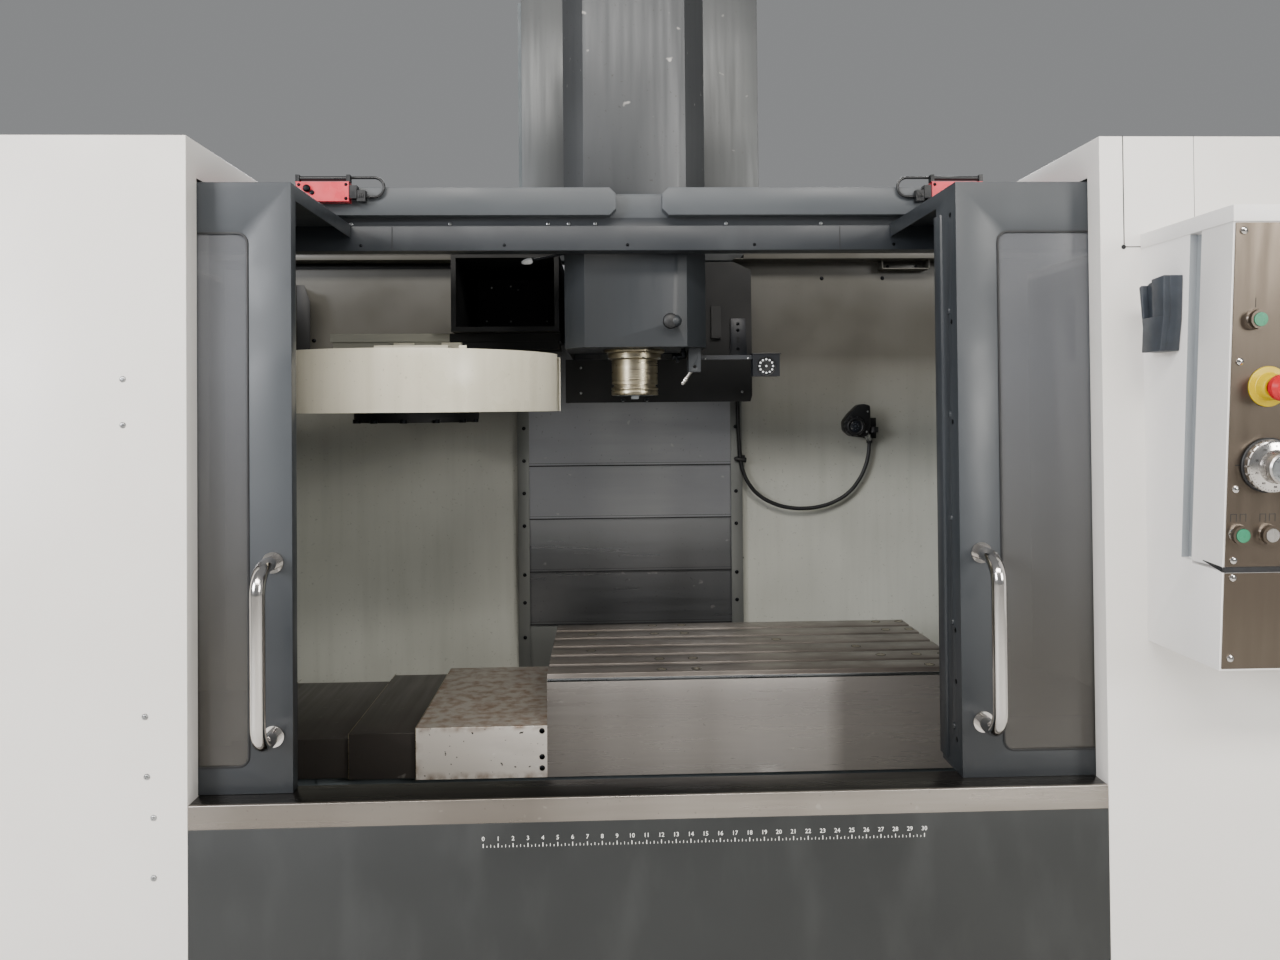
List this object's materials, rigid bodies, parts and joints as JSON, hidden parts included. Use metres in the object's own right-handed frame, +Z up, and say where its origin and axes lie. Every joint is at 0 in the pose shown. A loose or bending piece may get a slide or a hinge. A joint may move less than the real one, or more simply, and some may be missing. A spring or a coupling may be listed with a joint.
{
  "type": "cnc machining center",
  "caption": "Vertical machining centre: sheet metal enclosure with sliding doors, moving table under way covers, spindle head, tool carousel and a side pendant.",
  "frame": {"origin": "centre of the bounding box in plan, at the floor", "axes": "+Z up, +X to the right seen from the doors, +Y from the doors towards the column"},
  "size_m": [2.92, 2.3549, 2.65],
  "materials": {
    "white_panel": "satin powder coat",
    "dark_apron": "satin powder coat",
    "stainless": "brushed",
    "liner_grey": "satin paint",
    "pan_steel": "rolled sheet",
    "header_grey": "satin powder coat",
    "door_grey": "satin powder coat",
    "switch_red": "moulded",
    "cast_paint": "painted casting",
    "foot_steel": "turned",
    "rail_steel": "ground",
    "motor_black": "satin",
    "cover_steel": "rolled sheet",
    "cover_dark": "rolled sheet",
    "cabinet_grey": "satin powder coat",
    "pendant_white": "satin powder coat",
    "pendant_steel": "brushed",
    "holster_grey": "moulded",
    "black_plastic": "moulded",
    "green_button": "moulded",
    "grey_button": "moulded",
    "red_button": "moulded",
    "dial_metal": "turned",
    "screw_steel": "ground",
    "table_iron": "ground and milled",
    "head_paint": "satin powder coat",
    "black_sheet": "satin paint",
    "spindle_steel": "ground",
    "changer_dark": "satin paint",
    "changer_cream": "satin paint",
    "window_pane": "tinted",
    "hose_black": "smooth"
  },
  "bodies": {
    "machine": {"base_casting": "cast_paint", "leveling_feet": "foot_steel", "column_casting": "cast_paint", "linear_rails": "rail_steel", "axis_motors": "motor_black", "left_enclosure": "white_panel", "right_enclosure": "white_panel", "front_apron": "dark_apron", "front_sill": "stainless", "interior_liner": "liner_grey", "chip_pan": "pan_steel", "header_beam": "header_grey", "interlock_switches": "switch_red", "z_cover_frame": "cover_steel", "control_cabinet": "cabinet_grey", "changer_housing": "changer_dark", "pendant_housing": "pendant_white", "pendant_panel": "pendant_steel", "tool_holster": "holster_grey", "probe_mount": "black_plastic", "probe_hose": "hose_black"},
    "receiver": {"probe_receiver": "black_plastic"},
    "power_on": {"power_on_button": "green_button"},
    "emergency_stop": {"estop_button": "red_button"},
    "cycle_start": {"cycle_start_button": "green_button"},
    "feed_hold": {"feed_hold_button": "grey_button"},
    "dial": {"jog_dial": "dial_metal"},
    "y_screw": {"y_ball_screw": "screw_steel"},
    "z_screw": {"z_ball_screw": "screw_steel"},
    "saddle_unit": {"saddle": "cast_paint", "x_rails": "rail_steel", "x_axis_motor": "motor_black", "x_cover_ends": "cover_dark"},
    "x_screw": {"x_ball_screw": "screw_steel"},
    "table_unit": {"table": "table_iron", "table_apron": "stainless", "x_cover_inner": "cover_steel"},
    "middle_covers": {"x_cover_middle": "cover_dark"},
    "outer_covers": {"x_cover_outer": "cover_dark"},
    "head": {"head_casting": "cast_paint", "head_front_cover": "head_paint", "head_lower_cover": "black_sheet", "z_cover_plate_1": "cover_steel", "spindle_cartridge": "spindle_steel", "spindle_motor": "motor_black"},
    "spindle_shaft": {"spindle": "spindle_steel"},
    "nozzle": {"coolant_nozzle": "stainless"},
    "lamp": {"lamp_arm": "black_plastic"},
    "plate_2": {"z_cover_plate_2": "cover_steel"},
    "plate_3": {"z_cover_plate_3": "cover_steel"},
    "plate_4": {"z_cover_plate_4": "cover_steel"},
    "shuttle": {"changer_shuttle": "changer_dark", "changer_cover": "changer_cream"},
    "carousel": {"changer_carousel": "changer_dark"},
    "left_door_unit": {"left_door": "door_grey", "left_window": "window_pane", "left_handle": "stainless"},
    "right_door_unit": {"right_door": "door_grey", "right_window": "window_pane", "right_handle": "stainless"}
  },
  "joints": [
    {"name": "y_slide", "type": "slide", "parent": "machine", "child": "saddle_unit", "axis": [0, 1, 0], "range_m": [-0.254, 0.254]},
    {"name": "x_slide", "type": "slide", "parent": "saddle_unit", "child": "table_unit", "axis": [1, 0, 0], "range_m": [-0.637, 0.125]},
    {"name": "z_slide", "type": "slide", "parent": "machine", "child": "head", "axis": [0, 0, 1], "range_m": [-0.508, 0]},
    {"name": "y_screw_turn", "type": "hinge", "parent": "machine", "child": "y_screw", "pos_m": [-0.011, -0.2628, 0.39], "axis": [0, 1, 0], "range_deg": [-9162, 9162]},
    {"name": "x_screw_turn", "type": "hinge", "parent": "saddle_unit", "child": "x_screw", "pos_m": [-0.011, -0.2628, 0.63], "axis": [1, 0, 0], "range_deg": [-22950, 4518]},
    {"name": "z_screw_turn", "type": "hinge", "parent": "machine", "child": "z_screw", "pos_m": [-0.011, 0.3472, 1.6], "axis": [0, 0, 1], "range_deg": [-18306, 18]},
    {"name": "middle_cover_slide", "type": "slide", "parent": "saddle_unit", "child": "middle_covers", "axis": [1, 0, 0], "range_m": [-0.5009, 0.0985]},
    {"name": "outer_cover_slide", "type": "slide", "parent": "saddle_unit", "child": "outer_covers", "axis": [1, 0, 0], "range_m": [-0.2576, 0.0507]},
    {"name": "plate_2_slide", "type": "slide", "parent": "machine", "child": "plate_2", "axis": [0, 0, 1], "range_m": [-0.3811, 0.0001]},
    {"name": "plate_3_slide", "type": "slide", "parent": "machine", "child": "plate_3", "axis": [0, 0, 1], "range_m": [-0.2541, 0.0001]},
    {"name": "plate_4_slide", "type": "slide", "parent": "machine", "child": "plate_4", "axis": [0, 0, 1], "range_m": [-0.1271, 0.0001]},
    {"name": "spindle_turn", "type": "hinge", "parent": "head", "child": "spindle_shaft", "pos_m": [-0.011, -0.2628, 1.44], "axis": [0, 0, 1], "continuous": true},
    {"name": "nozzle_tilt", "type": "hinge", "parent": "head", "child": "nozzle", "pos_m": [0.126, -0.3278, 1.502], "axis": [0, 1, 0], "range_deg": [-60, 40]},
    {"name": "lamp_swing", "type": "hinge", "parent": "head", "child": "lamp", "pos_m": [0.128, -0.2908, 1.526], "axis": [0, 0, 1], "range_deg": [-28, 75]},
    {"name": "shuttle_slide", "type": "slide", "parent": "machine", "child": "shuttle", "axis": [1, 0, 0], "range_m": [0, 0.229]},
    {"name": "carousel_turn", "type": "hinge", "parent": "shuttle", "child": "carousel", "pos_m": [-0.53, -0.2628, 1.41], "axis": [0, 0, 1], "continuous": true},
    {"name": "left_door_slide", "type": "slide", "parent": "machine", "child": "left_door_unit", "axis": [1, 0, 0], "range_m": [0, 0.6305]},
    {"name": "right_door_slide", "type": "slide", "parent": "machine", "child": "right_door_unit", "axis": [1, 0, 0], "range_m": [-0.5515, 0.079]},
    {"name": "receiver_swivel", "type": "hinge", "parent": "machine", "child": "receiver", "pos_m": [0.699, 0.2072, 1.346], "axis": [0, 0, 1], "range_deg": [-20, 20]},
    {"name": "power_on_push", "type": "slide", "parent": "machine", "child": "power_on", "axis": [0, 0.9972, 0.075], "range_m": [0, 0.003], "stiffness_N_per_m": 400},
    {"name": "emergency_stop_push", "type": "slide", "parent": "machine", "child": "emergency_stop", "axis": [0, 0.9972, 0.075], "range_m": [0, 0.003], "stiffness_N_per_m": 600},
    {"name": "cycle_start_push", "type": "slide", "parent": "machine", "child": "cycle_start", "axis": [0, 0.9972, 0.075], "range_m": [0, 0.003], "stiffness_N_per_m": 400},
    {"name": "feed_hold_push", "type": "slide", "parent": "machine", "child": "feed_hold", "axis": [0, 0.9972, 0.075], "range_m": [0, 0.003], "stiffness_N_per_m": 400},
    {"name": "dial_turn", "type": "hinge", "parent": "machine", "child": "dial", "pos_m": [0.93, -1.12018, 1.312], "axis": [0, -0.9972, -0.075], "continuous": true}
  ],
  "couplings": [
    {"joint": "y_screw_turn", "follows": "y_slide", "rad_per_m": 628.32},
    {"joint": "x_screw_turn", "follows": "x_slide", "rad_per_m": 628.32},
    {"joint": "z_screw_turn", "follows": "z_slide", "rad_per_m": 628.32},
    {"joint": "middle_cover_slide", "follows": "x_slide", "ratio": 0.786},
    {"joint": "outer_cover_slide", "follows": "x_slide", "ratio": 0.404},
    {"joint": "plate_2_slide", "follows": "z_slide", "ratio": 0.75},
    {"joint": "plate_3_slide", "follows": "z_slide", "ratio": 0.5},
    {"joint": "plate_4_slide", "follows": "z_slide", "ratio": 0.25}
  ]
}
